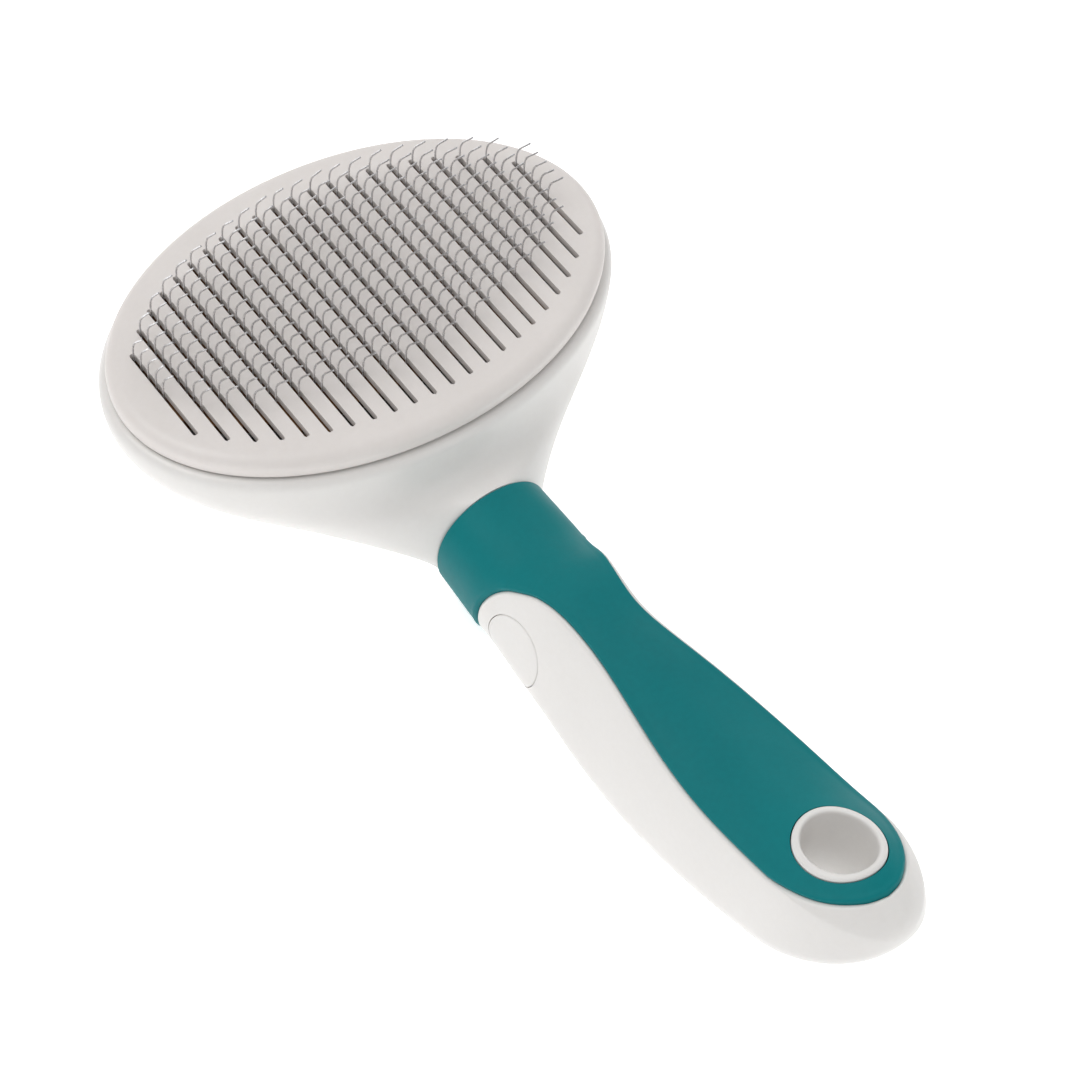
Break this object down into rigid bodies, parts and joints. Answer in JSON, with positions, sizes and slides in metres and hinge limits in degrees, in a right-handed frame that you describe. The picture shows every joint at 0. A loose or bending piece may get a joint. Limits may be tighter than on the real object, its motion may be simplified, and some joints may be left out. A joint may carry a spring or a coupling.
{
  "type": "slicker brush",
  "caption": "Self-cleaning slicker brush: bent steel pins in an oval head draw back through a slotted face when the neck button is pushed; soft grip and hanging hole.",
  "frame": {"origin": "on the surface under the lowest point, below the middle of the bounding box", "axes": "+Z out of the pin face, +Y from the handle's end to the head, +X across the oval head"},
  "size_m": [0.1084, 0.202, 0.0518],
  "materials": {
    "white_shell": "satin moulded, warm white",
    "face_plastic": "fine satin, pale pinkish grey",
    "soft_grip": "matte soft-touch, teal",
    "inner_plastic": "moulded, light grey",
    "carrier_plastic": "moulded, dark brown",
    "pin_steel": "drawn wire",
    "spring_steel": "zinc plated"
  },
  "bodies": {
    "shell": {"face_plate": "face_plastic", "main_body": "white_shell", "grip_sleeve": "soft_grip", "hang_ring": "white_shell", "handle_lid": "inner_plastic", "lever_bracket": "inner_plastic", "lever_pivot_pin": "pin_steel", "guide_post_left": "pin_steel", "guide_post_right": "pin_steel", "return_spring_left": "spring_steel", "return_spring_right": "spring_steel", "bracket_screw_1": "spring_steel", "bracket_screw_2": "spring_steel", "lid_screw_1": "spring_steel", "lid_screw_2": "spring_steel", "lid_screw_3": "spring_steel"},
    "pin_carriage": {"pin_row_01": "pin_steel", "pin_row_02": "pin_steel", "pin_row_03": "pin_steel", "pin_row_04": "pin_steel", "pin_row_05": "pin_steel", "pin_row_06": "pin_steel", "pin_row_07": "pin_steel", "pin_row_08": "pin_steel", "pin_row_09": "pin_steel", "pin_row_10": "pin_steel", "pin_row_11": "pin_steel", "pin_row_12": "pin_steel", "pin_row_13": "pin_steel", "pin_row_14": "pin_steel", "pin_row_15": "pin_steel", "pin_row_16": "pin_steel", "pin_row_17": "pin_steel", "pin_row_18": "pin_steel", "pin_row_19": "pin_steel", "pin_row_20": "pin_steel", "pin_row_21": "pin_steel", "pin_row_22": "pin_steel", "pin_carrier": "carrier_plastic", "carrier_back": "inner_plastic", "carrier_screw_1": "spring_steel", "carrier_screw_2": "spring_steel", "carrier_screw_3": "spring_steel", "carrier_screw_4": "spring_steel"},
    "lever_arm": {"lever": "inner_plastic", "drive_pin": "pin_steel"},
    "flank_button": {"push_button": "white_shell"}
  },
  "joints": [
    {"name": "button_press", "type": "slide", "parent": "shell", "child": "flank_button", "axis": [1, 0, 0], "range_m": [0, 0.004], "stiffness_N_per_m": 900, "springref_m": -0.003},
    {"name": "lever_rock", "type": "hinge", "parent": "shell", "child": "lever_arm", "pos_m": [0, 0.01255, 0.01774], "axis": [-1, 0, 0], "range_deg": [0, 16.05]},
    {"name": "carriage_slide", "type": "slide", "parent": "shell", "child": "pin_carriage", "axis": [0, 0, -1], "range_m": [0, 0.0106], "deforming": ["return_spring_left", "return_spring_right"]}
  ],
  "couplings": [
    {"joint": "lever_rock", "follows": "button_press", "rad_per_m": 69.98},
    {"joint": "carriage_slide", "follows": "button_press", "ratio": 2.65}
  ]
}
